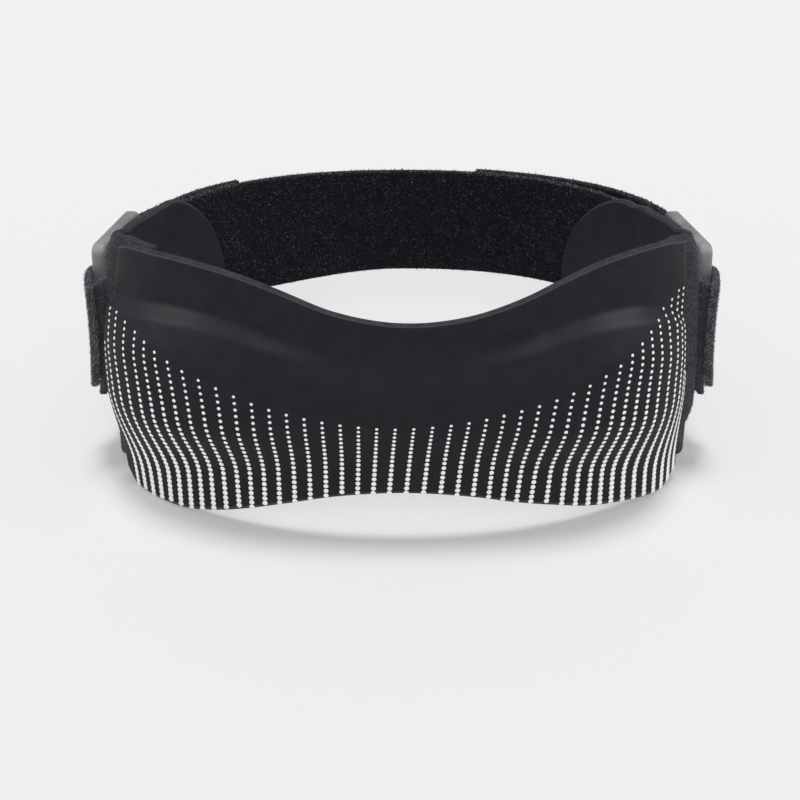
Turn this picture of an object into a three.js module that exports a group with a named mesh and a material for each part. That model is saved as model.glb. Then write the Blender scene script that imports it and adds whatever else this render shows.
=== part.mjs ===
// Patella stabilizing knee brace: an oval loop that stands on the lower edge of its panel and wings.
// Millimetres, +Z up, front at -Y. The plan is drawn with Y = 0 at the widest part of the loop, and
// the finished group is moved so that its origin lies under the middle of its box.
import * as THREE from 'three';

// Fit between neighbouring pieces
const GAP = 0.3;

// Front panel: thin flange all round, padded bulge, outer face on a superellipse in plan
const PANEL = {
  halfWidth: 67, depth: 41, power: 2.1, flange: 2.2,
  edgeArc: 71, columns: 70, rows: 16,
};

// Edges of the panel by distance along its outer face, from the left side to the right
const PANEL_EDGES = [
  { along: -71, low: 3.0, high: 61.0 },
  { along: -66, low: 0, high: 62.8 },
  { along: -58, low: 0, high: 63.8 },
  { along: -50, low: 0.4, high: 64.3 },
  { along: -42, low: 2.2, high: 63.9 },
  { along: -34, low: 4.7, high: 62.7 },
  { along: -26, low: 7.4, high: 60.4 },
  { along: -14, low: 10.8, high: 56.2 },
  { along: 0, low: 12.2, high: 54.0 },
  { along: 14, low: 10.8, high: 55.2 },
  { along: 26, low: 7.7, high: 58.7 },
  { along: 34, low: 5.6, high: 61.9 },
  { along: 42, low: 3.4, high: 64.4 },
  { along: 50, low: 2.0, high: 65.4 },
  { along: 58, low: 0.6, high: 65.3 },
  { along: 64, low: 0, high: 64.4 },
  { along: 71, low: 3.6, high: 62.4 },
];

// Padded bulge: low in the middle and high in the lobes, with the feet and widths of its slopes
const BULGE_UPPER_SLOPE = 11;
const BULGE_SHAPE = [
  { along: -74, crest: 2.4, upper: 55.0, lower: 6.0, lowerSlope: 22 },
  { along: -64, crest: 4.0, upper: 56.5, lower: 6.0, lowerSlope: 22 },
  { along: -54, crest: 5.2, upper: 58.2, lower: 8.0, lowerSlope: 20 },
  { along: -44, crest: 5.0, upper: 58.6, lower: 11.5, lowerSlope: 17 },
  { along: -33, crest: 4.0, upper: 57.0, lower: 14.0, lowerSlope: 15 },
  { along: -22, crest: 3.0, upper: 54.0, lower: 16.5, lowerSlope: 15 },
  { along: 0, crest: 2.4, upper: 53.0, lower: 19.5, lowerSlope: 15 },
  { along: 22, crest: 3.0, upper: 54.0, lower: 16.5, lowerSlope: 15 },
  { along: 33, crest: 4.0, upper: 57.0, lower: 14.0, lowerSlope: 15 },
  { along: 44, crest: 5.0, upper: 58.6, lower: 11.5, lowerSlope: 17 },
  { along: 54, crest: 5.0, upper: 57.6, lower: 8.0, lowerSlope: 20 },
  { along: 64, crest: 3.0, upper: 54.0, lower: 6.0, lowerSlope: 22 },
  { along: 74, crest: 0.3, upper: 48.0, lower: 6.0, lowerSlope: 22 },
];

// The panel's sides and the wings bow outwards at half height
const SIDE_BOW = { out: 2.8, from: 45, full: 72, height: 62 };

// What differs between the sides: bow of the panel's edge along and outwards, and length of the wing
const SIDES = {
  right: { edgeBow: 1, bow: 1.8, reach: 84 },
  left: { edgeBow: 3.5, bow: 2.8, reach: 79 },
};

// Strap: one strip through both rings, its inner face on a superellipse behind the rings
const STRAP = {
  width: 30, thickness: 2.2, top: 49.5,
  halfWidth: 63, depth: 44.4, power: 2.25, startY: 22, layerGap: 0.4,
};
const FOLD_BACK = {
  right: { length: 66, opening: 58 },
  left: { length: 41, opening: 22 },
};

// Rings: rectangular frames that stand along the sides, turned in a little towards the back
const RING = {
  length: 25.1, height: 39, bar: 3, thickness: 3.4, corner: 2.2, slotCorner: 1.2, bevel: 0.9,
  bendGap: 0.4, frontX: 71.4, frontY: -0.4, rearX: 67.85, rearY: 21.4, middleZ: 35.6,
};

// Wings: flaps inside the panel and the strap, with a round end and a lower margin that curls out
const WING = {
  thickness: 2, lap: 11, endRadius: 26.2, endTurnDegrees: 86, rearLength: 46, rows: 10,
};

// Grid columns of a wing under the panel, across its pucker, behind it and round its end
const WING_COLUMNS = { under: 4, across: 13, behind: 7, end: 9, acrossFrom: 11, acrossTo: 24.5 };
const WING_TOP = [
  { along: 0, high: 63.2 },
  { along: 10, high: 62.0 },
  { along: 20, high: 60.8 },
  { along: 28, high: 59.2 },
  { along: 38, high: 57.4 },
  { along: 48, high: 55.4 },
  { along: 58, high: 52.4 },
];
const WING_CURL = { lower: 2.4, lowerFrom: 20, lowerFull: 10, fadeFrom: 24, fadeTo: 44 };

// Each wing puckers outwards between the panel's edge and the ring's post
const PUCKER = {
  out: 3.6, clear: 0.8, rise: 4, fallFrom: 17.5, fallTo: 21,
  topDrop: 1.4, topFrom: 56, topTo: 62, lowFrom: 3, lowTo: 18,
};

// Tabs: webbing folded round the front post of each ring
const TAB = {
  thickness: 1.6, height: 29.2, base: 19.6, seatFrom: 17.3, seatTo: 22.9, endAlong: 77.3, endLift: 7,
};

// The loop flares outwards below the strap's top edge, and the strap's left half leans in at its foot
const FLARE = { bend: 0.00003, fullTo: 25, noneFrom: 60 };
const LEFT_LEAN = { slope: 0.2, xFull: 40, yFrom: 30, yFull: 56 };

// Straight steps that draw each curve in plan
const STEPS = {
  plan: 60, wingFront: 14, wingSide: 8, wingRear: 24, bend: 10,
  tabLeg: 6, tabSeat: 10, foldBack: 18, strap: 32, ringBevel: 2, ringCorner: 4,
};

const COLOURS = {
  jersey: 0x1b1b1f, pile: 0x17171b, webbing: 0x26262b, plastic: 0x2b2c2f,
};

const { clamp, lerp, smoothstep } = THREE.MathUtils;

// Smooth curve through one column of a table, read by distance along
function tableCurve(rows, column) {
  const places = rows.map((row) => row.along);
  const values = rows.map((row) => row[column]);
  const spline = new THREE.CubicInterpolant(places, values, 1);
  return (along) => spline.evaluate(clamp(along, places[0], places.at(-1)))[0];
}

function superellipse(halfWidth, depth, power, turn) {
  const x = halfWidth * Math.cos(turn) ** (2 / power);
  const y = depth * Math.sin(turn) ** (2 / power);
  return new THREE.Vector2(x, y);
}

// Plan curve whose outer side lies on the right of its direction of travel
function planCurve(points) {
  const curve = new THREE.SplineCurve(points);
  curve.arcLengthDivisions = 800;
  return curve;
}

function offsetPoint(curve, along, offset) {
  const part = clamp(along / curve.getLength(), 0, 1);
  const point = curve.getPointAt(part);
  const tangent = curve.getTangentAt(part);
  return new THREE.Vector2(point.x + tangent.y * offset, point.y - tangent.x * offset);
}

// Right half of the panel's outer face, from the middle of the front to the widest part
function makePanelPlan() {
  const points = [];
  for (let i = 0; i <= STEPS.plan; i += 1) {
    const turn = (Math.PI / 2) * (1 - i / STEPS.plan);
    const point = superellipse(PANEL.halfWidth, PANEL.depth, PANEL.power, Math.max(turn, 0));
    points.push(new THREE.Vector2(Math.max(point.x, 0), -point.y));
  }
  return planCurve(points);
}

// Right half of the strap's inner face, from the ring to the middle of the back
function makeStrapPlan() {
  const points = [];
  for (let i = 0; i <= STEPS.plan; i += 1) {
    const turn = (Math.PI / 2) * (i / STEPS.plan);
    const point = superellipse(STRAP.halfWidth, STRAP.depth, STRAP.power, turn);
    points.push(new THREE.Vector2(Math.max(point.x, 0), STRAP.startY + point.y));
  }
  return planCurve(points);
}

const panelPlan = makePanelPlan();
const strapPlan = makeStrapPlan();
const wingInset = PANEL.flange + GAP;

// Outer face of the right wing: inside the panel, along the ring, then inside the strap
function makeWingPlan() {
  const points = [];
  const lapStart = PANEL.edgeArc - WING.lap;
  for (let i = 0; i < STEPS.wingFront; i += 1) {
    const along = lerp(lapStart, panelPlan.getLength(), i / STEPS.wingFront);
    points.push(offsetPoint(panelPlan, along, -wingInset));
  }
  const frontX = PANEL.halfWidth - wingInset;
  const rearX = STRAP.halfWidth - STRAP.layerGap;
  for (let i = 0; i < STEPS.wingSide; i += 1) {
    const part = i / STEPS.wingSide;
    points.push(new THREE.Vector2(lerp(frontX, rearX, smoothstep(part, 0, 1)), STRAP.startY * part));
  }
  for (let i = 0; i <= STEPS.wingRear; i += 1) {
    const along = (WING.rearLength * i) / STEPS.wingRear;
    points.push(offsetPoint(strapPlan, along, -STRAP.layerGap));
  }
  return planCurve(points);
}

const wingPlan = makeWingPlan();

// Closed slab between an outside and an inside grid of points
function slab(columns, rows, pointAt) {
  const positions = [];
  for (const outside of [true, false]) {
    for (let i = 0; i <= columns; i += 1) {
      for (let j = 0; j <= rows; j += 1) {
        positions.push(...pointAt(i, j, outside).toArray());
      }
    }
  }
  const gridSize = (columns + 1) * (rows + 1);
  const outer = (i, j) => i * (rows + 1) + j;
  const inner = (i, j) => gridSize + outer(i, j);
  const index = [];
  const quad = (a, b, c, d) => index.push(a, b, c, a, c, d);
  for (let i = 0; i < columns; i += 1) {
    for (let j = 0; j < rows; j += 1) {
      quad(outer(i, j), outer(i + 1, j), outer(i + 1, j + 1), outer(i, j + 1));
      quad(inner(i, j), inner(i, j + 1), inner(i + 1, j + 1), inner(i + 1, j));
    }
    quad(inner(i, 0), inner(i + 1, 0), outer(i + 1, 0), outer(i, 0));
    quad(outer(i, rows), outer(i + 1, rows), inner(i + 1, rows), inner(i, rows));
  }
  for (let j = 0; j < rows; j += 1) {
    quad(inner(0, j), outer(0, j), outer(0, j + 1), inner(0, j + 1));
    quad(outer(columns, j), inner(columns, j), inner(columns, j + 1), outer(columns, j + 1));
  }
  const geometry = new THREE.BufferGeometry();
  geometry.setAttribute('position', new THREE.Float32BufferAttribute(positions, 3));
  geometry.setIndex(index);
  return geometry;
}

// Strip of even thickness that stands on edge along a path in plan
function ribbon(path, thickness, base, height) {
  const left = [];
  const right = [];
  path.forEach((point, i) => {
    const before = path[Math.max(i - 1, 0)];
    const after = path[Math.min(i + 1, path.length - 1)];
    const across = after.clone().sub(before).normalize().multiplyScalar(thickness / 2);
    left.push(new THREE.Vector2(point.x - across.y, point.y + across.x));
    right.push(new THREE.Vector2(point.x + across.y, point.y - across.x));
  });
  const outline = new THREE.Shape([...left, ...right.reverse()]);
  const geometry = new THREE.ExtrudeGeometry(outline, { depth: height, bevelEnabled: false });
  return geometry.translate(0, 0, base);
}

// Half turn round a post, from one angle to another
function bend(centreX, centreY, radius, fromTurn, toTurn) {
  const points = [];
  for (let i = 0; i <= STEPS.bend; i += 1) {
    const turn = lerp(fromTurn, toTurn, i / STEPS.bend);
    points.push(new THREE.Vector2(centreX + radius * Math.cos(turn), centreY + radius * Math.sin(turn)));
  }
  return points;
}

const lowEdge = tableCurve(PANEL_EDGES, 'low');
const highEdge = tableCurve(PANEL_EDGES, 'high');
const bulgeCrest = tableCurve(BULGE_SHAPE, 'crest');
const upperFoot = tableCurve(BULGE_SHAPE, 'upper');
const lowerFoot = tableCurve(BULGE_SHAPE, 'lower');
const lowerSlope = tableCurve(BULGE_SHAPE, 'lowerSlope');

// How far the padding stands proud of the flange
function bulgeHeight(along, z) {
  const upper = smoothstep(upperFoot(along) - z, 0, BULGE_UPPER_SLOPE);
  const lower = smoothstep(z - lowerFoot(along), 0, lowerSlope(along));
  return bulgeCrest(along) * upper * lower;
}

// Outward bow of a side of the loop, by distance along the panel's outer face
function sideBow(along, z, out) {
  const beside = smoothstep(along, SIDE_BOW.from, SIDE_BOW.full);
  return out * beside * Math.sin(Math.PI * clamp(z / SIDE_BOW.height, 0, 1));
}

function makePanel() {
  return slab(PANEL.columns, PANEL.rows, (i, j, outside) => {
    const across = (2 * i) / PANEL.columns - 1;
    const up = j / PANEL.rows;
    const low = Math.max(lowEdge(across * PANEL.edgeArc), 0);
    const z = lerp(low, highEdge(across * PANEL.edgeArc), up);
    const side = across < 0 ? SIDES.left : SIDES.right;
    const along = across * (PANEL.edgeArc + side.edgeBow * 4 * up * (1 - up));
    const depth = outside ? bulgeHeight(along, z) : -PANEL.flange;
    const point = offsetPoint(panelPlan, Math.abs(along), sideBow(Math.abs(along), z, side.bow) + depth);
    return new THREE.Vector3(Math.sign(across) * point.x, point.y, z);
  });
}

const wingTop = tableCurve(WING_TOP, 'high');

// Outward shape of a wing: bow, pucker behind the panel's edge, and curl of its lower margin
function wingOffset(side, along, z) {
  const up = clamp(z / SIDE_BOW.height, 0, 1);
  const start = WING.lap + side.edgeBow * 4 * up * (1 - up) + PUCKER.clear;
  const free = smoothstep(along, start, start + PUCKER.rise);
  const fade = 1 - smoothstep(along, WING_CURL.fadeFrom, WING_CURL.fadeTo);
  const bow = sideBow(along + PANEL.edgeArc - WING.lap, z, lerp(side.bow, SIDE_BOW.out, free));
  const pucker = free * (1 - smoothstep(along, PUCKER.fallFrom, PUCKER.fallTo));
  const drop = PUCKER.topDrop * smoothstep(z, PUCKER.topFrom, PUCKER.topTo);
  const puckerOut = (PUCKER.out - drop) * smoothstep(z, PUCKER.lowFrom, PUCKER.lowTo);
  const lower = WING_CURL.lower * (1 - smoothstep(z, WING_CURL.lowerFull, WING_CURL.lowerFrom));
  return fade * (bow + free * (1 - pucker) * lower) + pucker * puckerOut;
}

// Distance along a wing of a grid column, closest together across the pucker
function wingRun(column, endStart) {
  const { under, across, behind, acrossFrom, acrossTo } = WING_COLUMNS;
  if (column <= under) {
    return (acrossFrom * column) / under;
  }
  if (column <= under + across) {
    return lerp(acrossFrom, acrossTo, (column - under) / across);
  }
  return lerp(acrossTo, endStart, Math.min((column - under - across) / behind, 1));
}

// Wing seen on the right: straight foot, gently falling top, then a half round end
function makeWing(side) {
  const endStart = side.reach - WING.endRadius;
  const lastTurn = THREE.MathUtils.degToRad(WING.endTurnDegrees);
  const endColumn = WING_COLUMNS.under + WING_COLUMNS.across + WING_COLUMNS.behind;
  return slab(endColumn + WING_COLUMNS.end, WING.rows, (i, j, outside) => {
    const turn = lastTurn * Math.max((i - endColumn) / WING_COLUMNS.end, 0);
    const run = wingRun(i, endStart);
    const along = run + WING.endRadius * Math.sin(turn);
    const low = WING.endRadius * (1 - Math.cos(turn));
    const high = WING.endRadius + (wingTop(run) - WING.endRadius) * Math.cos(turn);
    const z = lerp(low, high, j / WING.rows);
    const offset = wingOffset(side, along, z) - (outside ? 0 : WING.thickness);
    const point = offsetPoint(wingPlan, along, offset);
    return new THREE.Vector3(point.x, point.y, z);
  });
}

// Right tab: lifted front end, outer leg, half turn round the post, inner leg on the wing
function makeTab() {
  const radius = RING.thickness / 2 + RING.bendGap + TAB.thickness / 2;
  const outerEnd = offsetPoint(panelPlan, TAB.endAlong, TAB.endLift);
  const outerLeg = new THREE.QuadraticBezierCurve(
    outerEnd,
    new THREE.Vector2(RING.frontX + radius, RING.frontY - radius),
    new THREE.Vector2(RING.frontX + radius, RING.frontY),
  ).getPoints(STEPS.tabLeg);
  const seat = [];
  for (let i = 0; i <= STEPS.tabSeat; i += 1) {
    const along = lerp(TAB.seatFrom, TAB.seatTo, i / STEPS.tabSeat);
    const pucker = PUCKER.out * (1 - smoothstep(along, PUCKER.fallFrom, PUCKER.fallTo));
    seat.push(offsetPoint(wingPlan, along, SIDE_BOW.out + pucker));
  }
  const wingFace = planCurve(seat);
  const innerLeg = [];
  for (let i = 0; i <= STEPS.tabSeat; i += 1) {
    const along = wingFace.getLength() * (1 - i / STEPS.tabSeat);
    innerLeg.push(offsetPoint(wingFace, along, GAP + TAB.thickness / 2));
  }
  const turn = bend(RING.frontX, RING.frontY, radius, 0, Math.PI);
  return ribbon([...outerLeg.slice(0, -1), ...turn, ...innerLeg], TAB.thickness, TAB.base, TAB.height);
}

// Outer layer of the strap, from the ring's rear bar to the cut end
function foldBackPath({ length, opening }) {
  const barOffset = RING.rearX + barBendRadius() - STRAP.halfWidth;
  const fastOffset = STRAP.thickness * 1.5 + STRAP.layerGap;
  const points = [];
  for (let i = 1; i <= STEPS.foldBack; i += 1) {
    const along = (length * i) / STEPS.foldBack;
    const offset = lerp(barOffset, fastOffset, smoothstep(along, 0, opening));
    points.push(offsetPoint(strapPlan, along, offset));
  }
  return points;
}

function barBendRadius() {
  return RING.thickness / 2 + RING.bendGap + STRAP.thickness / 2;
}

// Half of the strap on the right side, from its cut end to the middle of the back
function halfStrapPath(foldBack) {
  const turn = bend(RING.rearX, RING.rearY, barBendRadius(), 0, -Math.PI);
  const inner = [];
  for (let i = 1; i <= STEPS.strap; i += 1) {
    const along = (strapPlan.getLength() * i) / STEPS.strap;
    inner.push(offsetPoint(strapPlan, along, STRAP.thickness / 2));
  }
  return [...foldBackPath(foldBack).reverse(), ...turn, ...inner];
}

function makeStrap() {
  const right = halfStrapPath(FOLD_BACK.right);
  const left = halfStrapPath(FOLD_BACK.left).map((point) => new THREE.Vector2(-point.x, point.y));
  const path = [...right, ...left.reverse().slice(1)];
  return ribbon(path, STRAP.thickness, STRAP.top - STRAP.width, STRAP.width);
}

function roundedRectangle(Kind, width, height, radius) {
  const outline = new Kind();
  const x = width / 2 - radius;
  const y = height / 2 - radius;
  outline.absarc(x, y, radius, 0, Math.PI / 2);
  outline.absarc(-x, y, radius, Math.PI / 2, Math.PI);
  outline.absarc(-x, -y, radius, Math.PI, Math.PI * 1.5);
  outline.absarc(x, -y, radius, Math.PI * 1.5, Math.PI * 2);
  return outline;
}

// Right ring: bevelled frame in a vertical plane
function makeRing() {
  const outline = roundedRectangle(THREE.Shape, RING.length, RING.height, RING.corner);
  const slotLength = RING.length - 2 * RING.bar;
  const slotHeight = RING.height - 2 * RING.bar;
  outline.holes.push(roundedRectangle(THREE.Path, slotLength, slotHeight, RING.slotCorner));
  const geometry = new THREE.ExtrudeGeometry(outline, {
    depth: RING.thickness - 2 * RING.bevel,
    bevelThickness: RING.bevel,
    bevelSize: RING.bevel,
    bevelOffset: -RING.bevel,
    bevelSegments: STEPS.ringBevel,
    curveSegments: STEPS.ringCorner,
  });
  geometry.translate(0, 0, RING.bevel - RING.thickness / 2);
  const upright = new THREE.Matrix4().makeBasis(
    new THREE.Vector3(0, 1, 0),
    new THREE.Vector3(0, 0, 1),
    new THREE.Vector3(1, 0, 0),
  );
  geometry.applyMatrix4(upright);
  geometry.rotateZ(Math.atan2(RING.frontX - RING.rearX, RING.rearY - RING.frontY));
  const centreX = (RING.frontX + RING.rearX) / 2;
  const centreY = (RING.frontY + RING.rearY) / 2;
  return geometry.translate(centreX, centreY, RING.middleZ);
}

// Mirror image for the left side, with its faces turned out again
function mirrored(geometry) {
  const copy = geometry.index ? geometry.toNonIndexed() : geometry.clone();
  const place = copy.getAttribute('position');
  for (let i = 0; i < place.count; i += 3) {
    const [x, y, z] = [place.getX(i), place.getY(i), place.getZ(i)];
    place.setXYZ(i, place.getX(i + 2), place.getY(i + 2), place.getZ(i + 2));
    place.setXYZ(i + 2, x, y, z);
  }
  for (let i = 0; i < place.count; i += 1) {
    place.setX(i, -place.getX(i));
  }
  return copy;
}

// Shared lean of every piece, so that the gaps between them stay
function leaned(geometry) {
  const place = geometry.getAttribute('position');
  for (let i = 0; i < place.count; i += 1) {
    const [x, y, z] = [place.getX(i), place.getY(i), place.getZ(i)];
    const below = Math.max(STRAP.top - z, 0);
    const flare = 1 + FLARE.bend * below ** 2 * (1 - smoothstep(y, FLARE.fullTo, FLARE.noneFrom));
    const strapBelow = Math.min(below, STRAP.width);
    const leanPart = smoothstep(-x, 0, LEFT_LEAN.xFull) * smoothstep(y, LEFT_LEAN.yFrom, LEFT_LEAN.yFull);
    place.setXYZ(i, x * flare, y - LEFT_LEAN.slope * strapBelow * leanPart, z);
  }
  geometry.computeVertexNormals();
  return geometry;
}

const brace = new THREE.Group();
brace.name = 'knee_brace';

function addPiece(name, geometry, color, roughness) {
  const material = new THREE.MeshStandardMaterial({ color, roughness, metalness: 0 });
  const mesh = new THREE.Mesh(leaned(geometry), material);
  mesh.name = name;
  brace.add(mesh);
}

addPiece('front_panel', makePanel(), COLOURS.jersey, 0.8);
addPiece('strap', makeStrap(), COLOURS.pile, 0.95);
addPiece('wing_right', makeWing(SIDES.right), COLOURS.jersey, 0.85);
addPiece('wing_left', mirrored(makeWing(SIDES.left)), COLOURS.jersey, 0.85);
addPiece('tab_right', makeTab(), COLOURS.webbing, 0.95);
addPiece('tab_left', mirrored(makeTab()), COLOURS.webbing, 0.95);
addPiece('ring_right', makeRing(), COLOURS.plastic, 0.35);
addPiece('ring_left', mirrored(makeRing()), COLOURS.plastic, 0.35);

const box = new THREE.Box3().setFromObject(brace);
const middle = box.getCenter(new THREE.Vector3());
brace.position.set(-middle.x, -middle.y, -box.min.z);
brace.updateMatrixWorld(true);

export default brace;
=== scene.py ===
"""Patella stabilizing knee brace: soft pieces, print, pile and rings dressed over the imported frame."""
import math

import bpy
import numpy as np
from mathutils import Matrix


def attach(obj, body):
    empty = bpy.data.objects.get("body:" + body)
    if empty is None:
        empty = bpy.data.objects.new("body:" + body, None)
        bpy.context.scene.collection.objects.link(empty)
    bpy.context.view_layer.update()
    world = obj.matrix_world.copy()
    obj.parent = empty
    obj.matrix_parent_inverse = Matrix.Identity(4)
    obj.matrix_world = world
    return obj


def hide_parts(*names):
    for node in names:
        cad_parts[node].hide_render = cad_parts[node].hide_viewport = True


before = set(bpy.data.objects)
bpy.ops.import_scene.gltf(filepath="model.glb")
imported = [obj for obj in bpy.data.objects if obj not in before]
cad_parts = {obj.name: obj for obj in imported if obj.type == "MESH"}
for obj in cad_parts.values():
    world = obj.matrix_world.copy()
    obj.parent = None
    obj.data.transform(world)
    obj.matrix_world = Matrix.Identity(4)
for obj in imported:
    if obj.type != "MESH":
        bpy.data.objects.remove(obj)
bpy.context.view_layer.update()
rng = np.random.default_rng(20)
MM = 0.001

# Measures of the part, in millimetres, with Y = 0 at the loop's widest part. They repeat the part's own,
# apart from the left end of the padding's upper foot (0.5 lower) and TAB_END_LIFT (0.3 less).
SHIFT_Y = -13.03136
GAP = 0.3
FLANGE, EDGE_ARC = 2.2, 71.0
# By side: bow of the panel's edge along the loop, bow outwards, length of the wing
EDGE_BOW, PANEL_BOW, WING_REACH = {1: 1.0, -1: 3.5}, {1: 1.8, -1: 2.8}, {1: 84.0, -1: 79.0}
PANEL_OVAL = {"half_width": 67.0, "depth": 41.0, "power": 2.1}
# Distance along the outer face, lower edge, upper edge
PANEL_EDGES = (
    (-71, 3.0, 61.0), (-66, 0, 62.8), (-58, 0, 63.8), (-50, 0.4, 64.3), (-42, 2.2, 63.9), (-34, 4.7, 62.7),
    (-26, 7.4, 60.4), (-14, 10.8, 56.2), (0, 12.2, 54.0), (14, 10.8, 55.2), (26, 7.7, 58.7), (34, 5.6, 61.9),
    (42, 3.4, 64.4), (50, 2.0, 65.4), (58, 0.6, 65.3), (64, 0, 64.4), (71, 3.6, 62.4),
)
# Distance along, crest height, upper foot, lower foot, width of the lower slope
BULGE_SHAPE = (
    (-74, 2.4, 54.5, 6.0, 22), (-64, 4.0, 56.5, 6.0, 22), (-54, 5.2, 58.2, 8.0, 20),
    (-44, 5.0, 58.6, 11.5, 17), (-33, 4.0, 57.0, 14.0, 15), (-22, 3.0, 54.0, 16.5, 15),
    (0, 2.4, 53.0, 19.5, 15), (22, 3.0, 54.0, 16.5, 15), (33, 4.0, 57.0, 14.0, 15),
    (44, 5.0, 58.6, 11.5, 17), (54, 5.0, 57.6, 8.0, 20), (64, 3.0, 54.0, 6.0, 22), (74, 0.3, 48.0, 6.0, 22),
)
BOW_OUT, BOW_FROM, BOW_FULL, BOW_HEIGHT = 2.8, 45.0, 72.0, 62.0
STRAP_WIDTH, STRAP_THICKNESS, STRAP_TOP = 30.0, 2.2, 49.5
STRAP_OVAL = {"half_width": 63.0, "depth": 44.4, "power": 2.25}
STRAP_START_Y, LAYER_GAP = 22.0, 0.4
# Length of each folded back end, and how far along it closes on the layer below
FOLD_BACK = {1: (66.0, 58.0), -1: (41.0, 22.0)}
RING_LENGTH, RING_HEIGHT, RING_BAR, RING_THICKNESS = 25.1, 39.0, 3.0, 3.4
RING_CORNER, RING_SLOT_CORNER, RING_EDGE, BEND_GAP = 2.2, 1.2, 0.9, 0.4
RING_FRONT, RING_REAR, RING_MIDDLE_Z = (71.4, -0.4), (67.85, 21.4), 35.6
WING_THICKNESS, WING_LAP, WING_END_RADIUS, WING_REAR = 2.0, 11.0, 26.2, 46.0
WING_END_TURN = math.radians(86)
# Distance along the wing, upper edge
WING_TOP = ((0, 63.2), (10, 62.0), (20, 60.8), (28, 59.2), (38, 57.4), (48, 55.4), (58, 52.4))
CURL_LOWER, CURL_LOWER_FULL, CURL_LOWER_FROM, CURL_FADE_FROM, CURL_FADE_TO = 2.4, 10.0, 20.0, 24.0, 44.0
PUCKER_OUT, PUCKER_CLEAR, PUCKER_RISE, PUCKER_FALL_FROM, PUCKER_FALL_TO = 3.6, 0.8, 4.0, 17.5, 21.0
PUCKER_TOP_DROP, PUCKER_TOP_FROM, PUCKER_TOP_TO = 1.4, 56.0, 62.0
PUCKER_LOW_FROM, PUCKER_LOW_TO = 3.0, 18.0
TAB_THICKNESS, TAB_HEIGHT, TAB_BASE = 1.6, 29.2, 19.6
TAB_SEAT_FROM, TAB_SEAT_TO, TAB_END_ALONG, TAB_END_LIFT = 17.3, 22.9, 77.3, 6.7
FLARE_BEND, FLARE_FULL_TO, FLARE_NONE_FROM = 0.00003, 25.0, 60.0
LEAN_SLOPE, LEAN_X_FULL, LEAN_Y_FROM, LEAN_Y_FULL = 0.2, 40.0, 30.0, 56.0

# Forms left to the scene. Below the padding's upper foot there is a narrow ridge, which fades out in the
# middle of the panel, over a slow rise to the crest. The flange thins by a share over a width at its edges.
RIDGE_HEIGHT, RIDGE_SHARE, RIDGE_FROM, RIDGE_TO = 1.7, 0.6, 5.0, 9.2
RIDGE_FADED, RIDGE_FULL, RISE_FROM, RISE_TO = 8.0, 34.0, 4.0, 18.0
EDGE_THIN, EDGE_THIN_WIDTH = 0.4, 5.0
# Radius of the lower corner of a tab's outer leg, and one too small to see, for strips with square corners
TAB_CORNER, SQUARE_CORNER = 9.0, 0.01

# Print: column number from the middle, place along at foot and top, height and spacing of its top dots
PRINT_COLUMNS = (
    (-20.5, -65.4, -74.4, 48.5, 1.5), (-18.5, -59.5, -67.2, 47.2, 1.5), (-16.5, -53.8, -59.5, 45.6, 1.5),
    (-14.5, -48.0, -53.2, 43.2, 1.55), (-12.5, -42.2, -46.5, 40.4, 1.6), (-10.5, -36.0, -39.0, 37.8, 1.65),
    (-8.5, -30.0, -31.5, 35.0, 1.6), (-6.5, -23.3, -24.2, 33.0, 1.5), (-3.5, -13.0, -13.0, 31.0, 1.3),
    (-0.5, -2.8, -1.5, 30.0, 1.16), (2.5, 8.2, 10.2, 31.0, 1.25), (5.5, 18.6, 21.2, 33.0, 1.45),
    (8.5, 28.0, 32.2, 35.8, 1.6), (10.5, 35.2, 39.2, 38.4, 1.65), (12.5, 41.6, 46.0, 41.8, 1.6),
    (14.5, 47.6, 51.8, 45.2, 1.55), (16.5, 54.0, 57.9, 48.3, 1.5), (18.5, 60.6, 64.8, 50.4, 1.5),
    (20.5, 66.5, 70.4, 52.6, 1.5), (22.5, 72.0, 75.4, 54.6, 1.5),
)
# Spacing at the foot, bare margin at the side edges and at the foot
PRINT_FOOT_SPACING, PRINT_EDGE, PRINT_FOOT_MARGIN = 1.24, 0.7, 0.12
DOT_RADIUS_TOP, DOT_RADIUS_FOOT, DOT_SIDES = 0.37, 0.62, 12
# The dots at the foot grow by this much, from the first to the second distance along
DOT_GROWTH, DOT_GROWS, DOT_GROWN = 0.24, 15.0, 70.0
# A dot's lift at its rim and shoulder, the shoulder's share of the radius, its middle's lift and depth
DOT_RIM_LIFT, DOT_HEIGHT, DOT_SHOULDER, DOT_DIMPLE, DOT_SINK = 0.02, 0.12, 0.62, 0.07, 0.06

# Meshes: size of a cell, width of the rounded rim, random lift of a rough face
PANEL_CELL, STRAP_CELL, WING_CELL, TAB_CELL = 0.6, 0.7, 0.7, 0.5
PANEL_RIM, STRAP_RIM, WING_RIM, TAB_RIM = 0.35, 0.5, 0.5, 0.4
STRAP_ROUGH, TAB_ROUGH = 0.06, 0.05
# Depths of the rows across a rim, as shares of the thickness, and heights that the cells are counted by
RIM_DEPTHS, PANEL_HEIGHT, WING_HEIGHT = (0.1, 0.5, 0.9), 62.0, 60.0
# Steps of the ovals, of the strips' bends and stretches, of the wings' plan and of the rings' corners
OVAL_STEPS, BEND_STEPS, LEG_STEPS, SEAT_STEPS, FOLD_STEPS, BACK_STEPS = 60, 10, 6, 10, 18, 32
WING_FRONT_STEPS, WING_SIDE_STEPS, WING_REAR_STEPS, CORNER_STEPS = 14, 8, 24, 8
# Parts that each step of a plan, and of a strip's path, is smoothed into
PLAN_FINE, STRIP_FINE = 16, 8

# Fibres: shortest and longest, width at the root, how far they lean
STRAP_FIBRE = (0.35, 0.85), 0.18, 1.6
WING_FIBRE = (0.25, 0.6), 0.15, 1.6
TAB_FIBRE = (0.3, 0.7), 0.15, 1.6
FRAY_THREAD = (0.5, 1.5), 0.1, 0.8
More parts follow.
